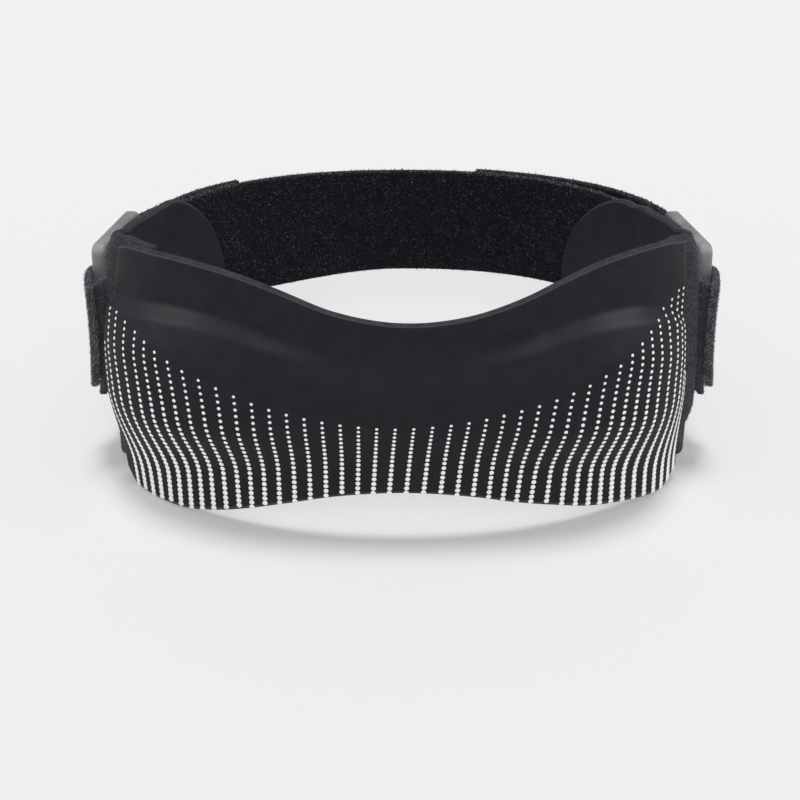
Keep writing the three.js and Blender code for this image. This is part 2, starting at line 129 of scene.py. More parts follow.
# How deep they start, how their widths vary, and how pale they are on faces and on rims and cut ends, where
# the paler tone is a painted highlight
FIBRE_SINK, FIBRE_WIDTHS, FACE_TONE, FRINGE_HIGHLIGHT_TONE = 0.06, (0.7, 1.3), (0.0, 0.5), (0.1, 1.0)
# How many of them
STRAP_FACE, STRAP_TOP_RIM, STRAP_LOW_RIM, STRAP_END = 26000, 2600, 1500, 200
TAB_OUTER, TAB_INNER, TAB_TOP_RIM, TAB_LOW_RIM, TAB_END, TAB_FRAY = 5200, 3000, 500, 400, 300, 70
WING_FACE = 16000

# Knit: distance between ribs and between courses, depth of the relief
RIB_PITCH, COURSE_PITCH, KNIT_DEPTH = 0.66, 0.52, 0.025
# Greys: green and blue as shares of red, and how much paler the painted highlight along a cloth edge is
GREEN, CLOTH_BLUE, EDGE_HIGHLIGHT_BLUE, FOAM_BLUE, PILE_FIBRE_BLUE = 1.02, 1.4, 1.15, 1.25, 1.2
WEBBING_BLUE, PLASTIC_BLUE, EDGE_HIGHLIGHT_GAIN = 1.16, 1.03, 4
INK_DULL, INK_CLEAN = (0.95, 0.945, 0.94, 1), (0.99, 0.985, 0.98, 1)

# Studio floor, in metres: radius of its flat part, radius of the curve at its edge, level
FLOOR_FLAT, FLOOR_CURVE, FLOOR_LEVEL = 4.0, 2.0, -0.0002
FLOOR_SIDES, FLOOR_STEPS, FLOOR_TONE, WORLD_STRENGTH = 64, 12, 0.81, 0.26
# Name, strength, size in degrees, tilt from straight down, turn about the vertical, casts a shadow
LAMPS = (("top", 1.4, 16, -5, 0, True), ("front", 0.42, 30, 52, 0, True),
         ("left", 0.72, 24, 60, -75, False), ("right", 0.9, 24, 60, 75, False))
# Camera: lens and sensor, tilt from straight down in degrees, nearest distance shown, place in the plan
LENS, SENSOR, CAMERA_TILT, CAMERA_NEAR = 54, 36, 60, 10.0
CAMERA_X, CAMERA_Y, CAMERA_Z = -0.5, -263.0, 164.5


def smoothstep(x, low, high):
    """Smooth rise from 0 at low to 1 at high."""
    t = np.clip((np.asarray(x, float) - low) / (high - low), 0, 1)
    return t * t * (3 - 2 * t)


def table_curve(rows, column):
    """Smooth curve through one column of a table, read by its first column."""
    x = np.array([row[0] for row in rows], float)
    y = np.array([row[column] for row in rows], float)
    secant = np.diff(y) / np.diff(x)
    slope = np.concatenate([secant[:1], (secant[1:] + secant[:-1]) / 2, secant[-1:]])

    def curve(at):
        at = np.clip(at, x[0], x[-1])
        i = np.clip(np.searchsorted(x, at, side="right") - 1, 0, len(x) - 2)
        width = x[i + 1] - x[i]
        p = (at - x[i]) / width
        start = (1 + 2 * p) * (1 - p) ** 2 * y[i] + p * (1 - p) ** 2 * width * slope[i]
        end = p * p * (3 - 2 * p) * y[i + 1] + p * p * (p - 1) * width * slope[i + 1]
        return start + end

    return curve


class Plan:
    """Smooth curve in plan whose outer side lies on the right of its direction of travel."""

    def __init__(self, points, fine=PLAN_FINE):
        points = np.asarray(points, float)
        padded = np.concatenate([points[:1], points, points[-1:]])
        before, a, b, after = (x[:, None] for x in (padded[:-3], padded[1:-2], padded[2:-1], padded[3:]))
        t = (np.arange(fine) / fine)[None, :, None]
        v0, v1 = (b - before) / 2, (after - a) / 2
        line = (2 * a - 2 * b + v0 + v1) * t**3 + (3 * b - 3 * a - 2 * v0 - v1) * t**2 + v0 * t + a
        self.points = np.concatenate([line.reshape(-1, 2), points[-1:]])
        steps = np.linalg.norm(np.diff(self.points, axis=0), axis=1)
        self.along = np.concatenate([[0], np.cumsum(steps)])
        tangent = np.gradient(self.points, self.along, axis=0)
        self.tangent = tangent / np.linalg.norm(tangent, axis=1, keepdims=True)
        self.length = self.along[-1]

    def at(self, along, offset):
        """Place at a distance along, moved outwards by the offset."""
        x, y = (np.interp(along, self.along, self.points[:, k]) for k in (0, 1))
        tx, ty = (np.interp(along, self.along, self.tangent[:, k]) for k in (0, 1))
        return x + ty * offset, y - tx * offset


def quarter_oval(half_width, depth, power):
    """Quarter of a superellipse, from its side to its back."""
    turn = np.linspace(0, math.pi / 2, OVAL_STEPS + 1)
    x = half_width * np.clip(np.cos(turn), 0, 1) ** (2 / power)
    y = depth * np.clip(np.sin(turn), 0, 1) ** (2 / power)
    return np.stack([x, y], -1)


def lean(x, y, z):
    """Points with the loop's flare and the strap's lean, in the frame, in millimetres."""
    below = np.maximum(STRAP_TOP - z, 0)
    flare = 1 + FLARE_BEND * below**2 * (1 - smoothstep(y, FLARE_FULL_TO, FLARE_NONE_FROM))
    part = smoothstep(-x, 0, LEAN_X_FULL) * smoothstep(y, LEAN_Y_FROM, LEAN_Y_FULL)
    return np.stack([x * flare, y - LEAN_SLOPE * np.minimum(below, STRAP_WIDTH) * part + SHIFT_Y, z], -1)


panel_plan = Plan(quarter_oval(**PANEL_OVAL)[::-1] * (1, -1))
panel_plan.tangent[0] = (1, 0)
strap_plan = Plan(quarter_oval(**STRAP_OVAL) + (0, STRAP_START_Y))
strap_plan.tangent[-1] = (-1, 0)
low_edge, high_edge = (table_curve(PANEL_EDGES, k) for k in (1, 2))
bulge_crest, upper_foot, lower_foot, lower_slope = (table_curve(BULGE_SHAPE, k) for k in (1, 2, 3, 4))
wing_top = table_curve(WING_TOP, 1)
wing_inset = FLANGE + GAP


def make_wing_plan():
    """Outer face of the right wing in plan: inside the panel, along the side, inside the strap."""
    front = np.linspace(EDGE_ARC - WING_LAP, panel_plan.length, WING_FRONT_STEPS + 1)[:-1]
    part = np.arange(WING_SIDE_STEPS) / WING_SIDE_STEPS
    front_x, rear_x = PANEL_OVAL["half_width"] - wing_inset, STRAP_OVAL["half_width"] - LAYER_GAP
    side = np.stack([front_x + (rear_x - front_x) * smoothstep(part, 0, 1), STRAP_START_Y * part], -1)
    rear = np.linspace(0, WING_REAR, WING_REAR_STEPS + 1)
    return Plan(np.concatenate([
        np.stack(panel_plan.at(front, -wing_inset), -1), side, np.stack(strap_plan.at(rear, -LAYER_GAP), -1),
    ]))


wing_plan = make_wing_plan()


def bulge(along, z):
    """How far the padding stands proud of the flange."""
    below = upper_foot(along) - z
    crest = bulge_crest(along)
    ridge = np.minimum(RIDGE_HEIGHT, crest * RIDGE_SHARE)
    ridge = ridge * smoothstep(np.abs(along), RIDGE_FADED, RIDGE_FULL)
    rise = ridge * smoothstep(below, RIDGE_FROM, RIDGE_TO)
    rise = rise + (crest - ridge) * smoothstep(below, RISE_FROM, RISE_TO)
    return rise * smoothstep((z - lower_foot(along)) / lower_slope(along), 0, 1)


def side_bow(along, z, out):
    """How far a side of the loop bows out."""
    return out * smoothstep(along, BOW_FROM, BOW_FULL) * np.sin(math.pi * np.clip(z / BOW_HEIGHT, 0, 1))


def panel_point(along, z, depth=0.0):
    """Point of the panel, from its outer face (depth 0) to its inner face (depth 1)."""
    outer = bulge(along, z)
    bow = side_bow(np.abs(along), z, np.where(np.asarray(along) < 0, PANEL_BOW[-1], PANEL_BOW[1]))
    x, y = panel_plan.at(np.abs(along), bow + outer - (FLANGE + outer) * depth)
    return lean(np.sign(along) * x, y, z)


def edge_reach(side, up):
    """How far along the panel's edge lies, on the side of that sign, from its foot (0) to its top (1)."""
    bow = np.where(np.asarray(side) < 0, EDGE_BOW[-1], EDGE_BOW[1])
    return EDGE_ARC + 4 * bow * up * (1 - up)


class Panel:
    """Front panel: across from left to right, then up."""

    side, width, height = 1, 2 * EDGE_ARC, PANEL_HEIGHT

    def spot(self, u, v):
        """Distance along and height."""
        across = 2 * u - 1
        low = np.maximum(low_edge(across * EDGE_ARC), 0)
        z = low + (high_edge(across * EDGE_ARC) - low) * v
        return across * edge_reach(across, v), z

    def at(self, u, v, depth):
        """Point on the panel, whose flange thins from the inside towards its upper and lower edges."""
        along, z = self.spot(u, v)
        thin = EDGE_THIN * (1 - smoothstep(np.minimum(v, 1 - v) * self.height, 0, EDGE_THIN_WIDTH))
        return panel_point(along, z, depth * (1 - thin))


class Wing:
    """Side wing: from under the panel to its round end, then up."""

    height = WING_HEIGHT

    def __init__(self, side):
        self.side = side
        self.end_start = WING_REACH[side] - WING_END_RADIUS
        self.width = self.end_start + WING_END_RADIUS * WING_END_TURN

    def spot(self, u, v):
        """Distance along and height."""
        run = np.minimum(u * self.width, self.end_start)
        turn = np.maximum(u * self.width - self.end_start, 0) / WING_END_RADIUS
        low = WING_END_RADIUS * (1 - np.cos(turn))
        high = WING_END_RADIUS + (wing_top(run) - WING_END_RADIUS) * np.cos(turn)
        return run + WING_END_RADIUS * np.sin(turn), low + (high - low) * v

    def offset(self, along, z):
        """Bow, pucker behind the panel's edge, and curl of the lower margin."""
        start = WING_LAP + PUCKER_CLEAR + edge_reach(self.side, np.clip(z / BOW_HEIGHT, 0, 1)) - EDGE_ARC
        free = smoothstep((along - start) / PUCKER_RISE, 0, 1)
        fade = 1 - smoothstep(along, CURL_FADE_FROM, CURL_FADE_TO)
        bow = side_bow(along + EDGE_ARC - WING_LAP, z, PANEL_BOW[self.side] * (1 - free) + BOW_OUT * free)
        pucker = free * (1 - smoothstep(along, PUCKER_FALL_FROM, PUCKER_FALL_TO))
        drop = PUCKER_TOP_DROP * smoothstep(z, PUCKER_TOP_FROM, PUCKER_TOP_TO)
        pucker_out = (PUCKER_OUT - drop) * smoothstep(z, PUCKER_LOW_FROM, PUCKER_LOW_TO)
        lower = CURL_LOWER * (1 - smoothstep(z, CURL_LOWER_FULL, CURL_LOWER_FROM))
        return fade * (bow + free * (1 - pucker) * lower) + pucker * pucker_out

    def at(self, u, v, depth):
        along, z = self.spot(u, v)
        x, y = wing_plan.at(along, self.offset(along, z) - WING_THICKNESS * depth)
        return lean(self.side * x, y, z)


class Ribbon:
    """Strip that stands on edge along a path in plan."""

    def __init__(self, path, thickness, base, height, side=1, corner=SQUARE_CORNER):
        self.line = Plan(path, STRIP_FINE)
        self.thickness, self.base, self.height, self.side = thickness, base, height, side
        self.width = self.line.length
        self.corner = corner

    def spot(self, u, v):
        """Distance along and height, with a rounded lower corner at the start."""
        short = np.clip(1 - u * self.width / self.corner, 0, 1)
        rise = self.corner * (1 - np.sqrt(1 - short**2))
        return u * self.width, self.base + rise + (self.height - rise) * v

    def at(self, u, v, depth):
        along, z = self.spot(u, v)
        x, y = self.line.at(along, self.thickness * (0.5 - depth))
        return lean(self.side * x, y, z)


def bend(centre, radius, from_turn, to_turn):
    """Arc in plan."""
    turn = np.linspace(from_turn, to_turn, BEND_STEPS + 1)
    return np.stack([centre[0] + radius * np.cos(turn), centre[1] + radius * np.sin(turn)], -1)


def tab_path():
    """Middle of the right tab: from its outer end round the ring's post to its seat on the wing."""
    radius = RING_THICKNESS / 2 + BEND_GAP + TAB_THICKNESS / 2
    start = np.array(panel_plan.at(TAB_END_ALONG, TAB_END_LIFT))
    corner = np.array([RING_FRONT[0] + radius, RING_FRONT[1] - radius])
    end = np.array([RING_FRONT[0] + radius, RING_FRONT[1]])
    t = np.linspace(0, 1, LEG_STEPS + 1)[:-1, None]
    leg = start * (1 - t) ** 2 + corner * 2 * t * (1 - t) + end * t**2
    seat = np.linspace(TAB_SEAT_FROM, TAB_SEAT_TO, SEAT_STEPS + 1)
    pucker = PUCKER_OUT * (1 - smoothstep(seat, PUCKER_FALL_FROM, PUCKER_FALL_TO))
    wing_face = Plan(np.stack(wing_plan.at(seat, BOW_OUT + pucker), -1))
    back = np.linspace(wing_face.length, 0, SEAT_STEPS + 1)
    inner = np.stack(wing_face.at(back, GAP + TAB_THICKNESS / 2), -1)
    return np.concatenate([leg, bend(RING_FRONT, radius, 0, math.pi), inner])


def half_strap_path(side):
    """From the cut end of the folded back layer, round the ring's rear bar, to the middle of the back."""
    length, opening = FOLD_BACK[side]
    radius = RING_THICKNESS / 2 + BEND_GAP + STRAP_THICKNESS / 2
    along = np.linspace(0, length, FOLD_STEPS + 1)[1:]
    bar_offset = RING_REAR[0] + radius - STRAP_OVAL["half_width"]
    fast_offset = STRAP_THICKNESS * 1.5 + LAYER_GAP
    offset = bar_offset + (fast_offset - bar_offset) * smoothstep(along, 0, opening)
    outer = np.stack(strap_plan.at(along, offset), -1)[::-1]
    round_back = np.linspace(0, strap_plan.length, BACK_STEPS + 1)[1:]
    inner = np.stack(strap_plan.at(round_back, STRAP_THICKNESS / 2), -1)
    return np.concatenate([outer, bend(RING_REAR, radius, 0, -math.pi), inner])


def strap_path():
    """Middle of the strap, from its right cut end to its left one."""
    left = half_strap_path(-1) * (-1, 1)
    return np.concatenate([half_strap_path(1), left[::-1][1:]])


def make_piece(name, points, faces, materials, slots=None, facts=None, smooth=True):
    """Mesh object in the frame from points in millimetres, with named numbers kept on its points."""
    mesh = bpy.data.meshes.new(name)
    mesh.from_pydata((points * MM).tolist(), [], faces if isinstance(faces, list) else faces.tolist())
    for material in materials:
        mesh.materials.append(material)
    if slots is not None:
        mesh.polygons.foreach_set("material_index", np.asarray(slots, np.int32))
    for key, values in (facts or {}).items():
        kind, field = ("FLOAT_VECTOR", "vector") if values.ndim == 2 else ("FLOAT", "value")
        attribute = mesh.attributes.new(key, kind, "POINT")
        attribute.data.foreach_set(field, values.astype(np.float32).ravel())
    if smooth:
        mesh.shade_smooth()
    mesh.update()
    piece = bpy.data.objects.new(name, mesh)
    bpy.context.scene.collection.objects.link(piece)
    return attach(piece, "root")


def rim_places(nu, nv):
    """Grid places round the border, counter-clockwise seen from outside."""
    bottom = [(i, 0) for i in range(nu + 1)]
    right = [(nu, j) for j in range(1, nv + 1)]
    top = [(i, nv) for i in range(nu - 1, -1, -1)]
    left = [(0, j) for j in range(nv - 1, 0, -1)]
    return np.array(bottom + right + top + left)


def shell(name, form, cell, materials, inset, rough=0.0):
    """Closed sheet between a form's outer and inner face, with a rounded rim.

    The materials are those of the outer face, the rim and the inner face.
    """
    nu, nv = max(4, round(form.width / cell)), max(4, round(form.height / cell))
    u, v = np.linspace(0, 1, nu + 1), np.linspace(0, 1, nv + 1)
    face_u, face_v = u.copy(), v.copy()
    face_u[[0, -1]] = inset / form.width, 1 - inset / form.width
    face_v[[0, -1]] = inset / form.height, 1 - inset / form.height
    grid_u, grid_v = (x.ravel() for x in np.meshgrid(face_u, face_v, indexing="ij"))
    places = rim_places(nu, nv)
    rim_u, rim_v = u[places[:, 0]], v[places[:, 1]]
    layers = [(grid_u, grid_v, 0.0), (grid_u, grid_v, 1.0)]
    layers += [(rim_u, rim_v, depth) for depth in RIM_DEPTHS]
    points = np.concatenate([form.at(a, b, depth) for a, b, depth in layers])
    cloth = []
    for a, b, _ in layers:
        along, z = form.spot(a, b)
        from_edge = np.minimum(np.minimum(a, 1 - a) * form.width, np.minimum(b, 1 - b) * form.height)
        cloth.append(np.stack([along, z, from_edge], -1))
    i, j = np.meshgrid(np.arange(nu), np.arange(nv), indexing="ij")
    first = (i * (nv + 1) + j).ravel()
    outer = np.stack([first, first + nv + 1, first + nv + 2, first + 1], -1)
    size = (nu + 1) * (nv + 1)
    border = places[:, 0] * (nv + 1) + places[:, 1]
    loops = [2 * size + k * len(places) + np.arange(len(places)) for k in range(len(RIM_DEPTHS))]
    loops = [border, *loops, size + border]
    rim = [np.stack([below, np.roll(below, -1), np.roll(above, -1), above], -1)
           for above, below in zip(loops, loops[1:])]
    faces = np.concatenate([outer, size + outer[:, ::-1]] + rim)
    slots = np.repeat([0, 2, 1], [len(outer), len(outer), len(faces) - 2 * len(outer)])
    if form.side < 0:
        faces = faces[:, ::-1]
    if rough:
        normal = np.zeros_like(points)
        normal[:size] = face_normal(form, grid_u, grid_v, 0.0)
        normal[size:2 * size] = -face_normal(form, grid_u, grid_v, 1.0)
        points = points + normal * rng.normal(0, rough, (len(points), 1))
    return make_piece(name, points, faces, materials, slots, {"cloth": np.concatenate(cloth)})


def unit(vectors):
    """Vectors scaled to length 1."""
    return vectors / np.maximum(np.linalg.norm(vectors, axis=-1, keepdims=True), 1e-9)


def face_normal(form, u, v, depth):
    """Direction out of the form's outer side at a depth."""
    step = 0.002
    du = form.at(u + step, v, depth) - form.at(u - step, v, depth)
    dv = form.at(u, v + step, depth) - form.at(u, v - step, depth)
    return unit(np.cross(du, dv)) * form.side


def face_roots(form, count, depth):
    """Random places on the outer (depth 0) or inner (depth 1) face, the way out and a range of tone."""
    u, v = rng.random(count), rng.random(count)
    return form.at(u, v, depth), face_normal(form, u, v, depth) * (1 - 2 * depth), FACE_TONE


def rim_roots(form, count, v):
    """Random places on the upper (v 1) or lower (v 0) rim, with the way out of it and a paler range of tone,
    a painted highlight.
    """
    u, depth = rng.random(count), rng.random(count)
    out = np.tile((0, 0, 2.0 * v - 1), (count, 1))
    return form.at(u, np.full(count, float(v)), depth), out, FRINGE_HIGHLIGHT_TONE


def end_roots(form, count, u):
    """Random places on the cut at the start (u 0) or end (u 1), the way out and a paler range of tone, a
    painted highlight.
    """
    v, depth = rng.random(count), rng.random(count)
    end = form.at(np.full(count, float(u)), v, depth)
    step_inside = 0.01
    inside = form.at(np.full(count, abs(u - step_inside)), v, depth)
    return end, unit(end - inside), FRINGE_HIGHLIGHT_TONE


def fibres(name, groups, material, length, width, spread):
    """One piece of many fine closed spikes, each leaning its own way off its root."""
    roots, out = (np.concatenate([group[k] for group in groups]) for k in (0, 1))
    count = len(roots)
    sideways = rng.normal(size=(count, 3))
    direction = unit(out + sideways * spread * rng.random((count, 1)))
    a = unit(np.cross(direction, unit(sideways + 0.01)))
    b = np.cross(direction, a)
    radius = width / 2 * rng.uniform(*FIBRE_WIDTHS, (count, 1))
    base = roots - out * FIBRE_SINK
    tip = base + direction * rng.uniform(*length, (count, 1))
    turns = (0, 2 * math.pi / 3, 4 * math.pi / 3)
    corners = [base + radius * (a * math.cos(t) + b * math.sin(t)) for t in turns]
    points = np.stack(corners + [tip], 1).reshape(-1, 3)
    start = 4 * np.arange(count)[:, None]
    faces = np.concatenate([start + tri for tri in ((0, 1, 3), (1, 2, 3), (2, 0, 3), (2, 1, 0))])
    low, high = (np.concatenate([np.full(len(group[0]), group[2][k]) for group in groups]) for k in (0, 1))
    tone = np.repeat(low + (high - low) * rng.random(count) ** 3, 4)
    return make_piece(name, points, faces, [material], facts={"tone": tone}, smooth=False)


class Nodes:
    """Procedural material under construction."""

    def __init__(self, name, **sockets):
        self.material = bpy.data.materials.new(name)
        self.material.use_nodes = True
        self.tree = self.material.node_tree
        self.shader = self.tree.nodes["Principled BSDF"]
        self.set(**sockets)

    def set(self, **sockets):
        for key, value in sockets.items():
            self.put(self.shader.inputs[key.replace("_", " ").title().replace("Ior", "IOR")], value)

    def put(self, socket, value):
        if isinstance(value, bpy.types.NodeSocket):
            self.tree.links.new(value, socket)
        else:
            socket.default_value = value

    def add(self, kind, output, inputs, **settings):
        node = self.tree.nodes.new(kind)
        for key, value in settings.items():
            setattr(node, key, value)
        for key, value in inputs.items():
            self.put(node.inputs[key], value)
        return node.outputs[output]

    def fact(self, name, output="Vector"):
        return self.add("ShaderNodeAttribute", output, {}, attribute_name=name)

    def part(self, vector, axis):
        return self.add("ShaderNodeSeparateXYZ", axis, {"Vector": vector})

    def math(self, operation, a, b=0.0):
        return self.add("ShaderNodeMath", 0, {0: a, 1: b}, operation=operation)

    def millimetres(self):
        place = self.add("ShaderNodeTexCoord", "Object", {})
        return self.add("ShaderNodeVectorMath", 0, {0: place, 3: 1000.0}, operation="SCALE")

    def noise(self, vector, scale, detail=2.0, rough=0.5):
        return self.add("ShaderNodeTexNoise", 0,
                        {"Vector": vector, "Scale": scale, "Detail": detail, "Roughness": rough})

    def span(self, value, low, high, to_low, to_high):
        return self.add("ShaderNodeMapRange", 0,
                        {0: value, 1: low, 2: high, 3: to_low, 4: to_high}, interpolation_type="SMOOTHSTEP")

    def mix(self, factor, a, b):
        return self.add("ShaderNodeMix", 2, {0: factor, 6: a, 7: b}, data_type="RGBA")

    def bump(self, height, distance_mm):
        self.set(normal=self.add("ShaderNodeBump", 0, {"Height": height, "Distance": distance_mm * MM}))


def grey(value, blue=CLOTH_BLUE):
    """Grey with a cool cast."""
    return (value, value * GREEN, value * blue, 1.0)


def jersey_material(name, dark, light):
    """Fine knit: upright ribs, shallow courses, mottling, and a painted highlight along the edges."""
    knit = Nodes(name, roughness=0.45, sheen_weight=0.03, sheen_roughness=0.5, specular_ior_level=0.3)
    cloth = knit.fact("cloth")
    ribs = knit.math("SINE", knit.math("MULTIPLY", knit.part(cloth, "X"), 2 * math.pi / RIB_PITCH))
    rows = knit.math("SINE", knit.math("MULTIPLY", knit.part(cloth, "Y"), 2 * math.pi / COURSE_PITCH))
    weave = knit.math("ADD", knit.math("MULTIPLY", ribs, 0.36), knit.math("MULTIPLY", rows, 0.14))
    mottle = knit.noise(knit.millimetres(), 0.22, 4.0)
    fine = knit.noise(knit.millimetres(), 2.6, 2.0)
    tone = knit.math("ADD", knit.span(mottle, 0.3, 0.7, 0.2, 0.55), knit.math("MULTIPLY", weave, 0.5))
    tone = knit.math("ADD", tone, knit.span(fine, 0.35, 0.75, -0.12, 0.22))
    # Paler within the last millimetre of each edge: a painted highlight along the edges
    edge_highlight = knit.span(knit.part(cloth, "Z"), 0.3, 1.0, 1.0, 0.0)
    plain_knit = knit.mix(tone, grey(dark), grey(light))
    knit.set(base_color=knit.mix(edge_highlight, plain_knit, grey(light * EDGE_HIGHLIGHT_GAIN, EDGE_HIGHLIGHT_BLUE)))
    knit.bump(knit.math("ADD", weave, knit.math("MULTIPLY", fine, 0.5)), KNIT_DEPTH)
    return knit.material


def foam_material(name, dark, light):
    """Cut foam edge: open cells between two cloth faces."""
    foam = Nodes(name, roughness=0.85, specular_ior_level=0.2)
    cells = foam.noise(foam.millimetres(), 3.4, 3.0, 0.65)
    streak = foam.noise(foam.millimetres(), 0.5, 2.0)
    tone = foam.math("ADD", foam.span(cells, 0.3, 0.72, 0.0, 0.75), foam.span(streak, 0.3, 0.7, -0.1, 0.3))
    foam.set(base_color=foam.mix(tone, grey(dark, FOAM_BLUE), grey(light, FOAM_BLUE)))
    foam.bump(cells, 0.14)
    return foam.material


def pile_material(name, dark, light, blue=CLOTH_BLUE):
    """Ground of the loop pile: clumped loops with bright specks."""
    pile = Nodes(name, roughness=0.9, sheen_weight=0.05, sheen_roughness=0.5, specular_ior_level=0.1)
    loops = pile.noise(pile.millimetres(), 2.3, 3.0, 0.7)
    clumps = pile.noise(pile.millimetres(), 0.35, 3.0)
    clumped = pile.span(clumps, 0.3, 0.7, 0.5, 1.0)
    tone = pile.math("MULTIPLY", pile.span(loops, 0.42, 0.78, 0.0, 1.0), clumped)
    pile.set(base_color=pile.mix(tone, grey(dark, blue), grey(light, blue)))
    pile.bump(loops, 0.35)
    return pile.material


def fibre_material(name, dark, light, blue):
    """Thread, each fibre with its own tone."""
    fibre = Nodes(name, roughness=0.7, specular_ior_level=0.2)
    fibre.set(base_color=fibre.mix(fibre.fact("tone", "Fac"), grey(dark, blue), grey(light, blue)))
    return fibre.material


def plastic_material(name, dark, light):
    """Moulded plastic with a soft gloss, rubbed patches and fine scratches."""
    plastic = Nodes(name, specular_ior_level=0.6)
    rubbed = plastic.noise(plastic.millimetres(), 0.16, 4.0)
    stretch = {"Vector": plastic.millimetres(), "Scale": (6.0, 0.5, 1.2)}
    scratch = plastic.noise(plastic.add("ShaderNodeMapping", 0, stretch), 1.0, 4.0, 0.7)
    tone = plastic.span(rubbed, 0.35, 0.7, 0.0, 1.0)
    plastic.set(base_color=plastic.mix(tone, grey(dark, PLASTIC_BLUE), grey(light, PLASTIC_BLUE)))
    plastic.set(roughness=plastic.math("ADD", plastic.span(rubbed, 0.3, 0.7, 0.24, 0.4),
                                       plastic.span(scratch, 0.55, 0.8, 0.0, 0.15)))
    plastic.bump(scratch, 0.03)
    return plastic.material


def ink_material(name):
    """Thick white screen print, a little uneven."""
    ink = Nodes(name, roughness=0.5, specular_ior_level=0.4)
    uneven = ink.noise(ink.millimetres(), 1.6, 3.0)
    tone = ink.span(uneven, 0.3, 0.7, 0.0, 1.0)
    ink.set(base_color=ink.mix(tone, INK_DULL, INK_CLEAN))
    ink.bump(uneven, 0.05)
    return ink.material


# Darkest and lightest tone of each
JERSEY = jersey_material("black_jersey", 0.01, 0.02)
LINING = jersey_material("black_lining", 0.012, 0.022)
WING_CLOTH = jersey_material("wing_jersey", 0.014, 0.027)
FOAM = foam_material("cut_foam", 0.022, 0.062)
PILE = pile_material("loop_pile", 0.006, 0.045)
PILE_FIBRE = fibre_material("loop_pile_fibre", 0.01, 0.42, PILE_FIBRE_BLUE)
WEBBING = pile_material("brushed_webbing", 0.04, 0.15, WEBBING_BLUE)
WEBBING_FIBRE = fibre_material("brushed_webbing_fibre", 0.05, 0.44, WEBBING_BLUE)
FRAY = fibre_material("frayed_thread", 0.1, 0.5, WEBBING_BLUE)
PLASTIC = plastic_material("moulded_plastic", 0.2, 0.29)
INK = ink_material("white_ink")


def ring_mesh(side):
    """Bevelled frame in a vertical plane along the loop's side."""
    arcs = [k * math.pi / 2 + np.linspace(0, math.pi / 2, CORNER_STEPS + 1) for k in range(4)]
    signs = ((1, 1), (-1, 1), (-1, -1), (1, -1))

    def outline(length, height, radius):
        return np.concatenate([
            np.stack([sp * (length / 2 - radius) + radius * np.cos(arc),
                      sq * (height / 2 - radius) + radius * np.sin(arc)], -1)
            for (sp, sq), arc in zip(signs, arcs)
        ])

    outer = outline(RING_LENGTH, RING_HEIGHT, RING_CORNER)
    inner = outline(RING_LENGTH - 2 * RING_BAR, RING_HEIGHT - 2 * RING_BAR, RING_SLOT_CORNER)
    half_bar, half_thick = RING_BAR / 2 - RING_EDGE, RING_THICKNESS / 2 - RING_EDGE
    section = np.concatenate([
        np.stack([sw * half_bar + RING_EDGE * np.cos(arc), st * half_thick + RING_EDGE * np.sin(arc)], -1)
        for (sw, st), arc in zip(signs, arcs)
    ])
    part = 0.5 + section[:, 0] / RING_BAR
    place = outer[:, None] + (inner - outer)[:, None] * part[None, :, None]
    p, q, t = place[..., 0], place[..., 1], np.broadcast_to(section[:, 1], place.shape[:2])
    turn = math.atan2(RING_FRONT[0] - RING_REAR[0], RING_REAR[1] - RING_FRONT[1])
    x = (RING_FRONT[0] + RING_REAR[0]) / 2 - p * math.sin(turn) + t * math.cos(turn)
    y = (RING_FRONT[1] + RING_REAR[1]) / 2 + p * math.cos(turn) + t * math.sin(turn)
    points = lean(side * x, y, q + RING_MIDDLE_Z).reshape(-1, 3)
    rows, columns = place.shape[:2]
    i, j = np.meshgrid(np.arange(rows), np.arange(columns), indexing="ij")
    a = i * columns + j
    b = (i + 1) % rows * columns + j
    faces = np.stack([a, b, np.roll(b, -1, 1), np.roll(a, -1, 1)], -1).reshape(-1, 4)
    return points, faces if side < 0 else faces[:, ::-1]


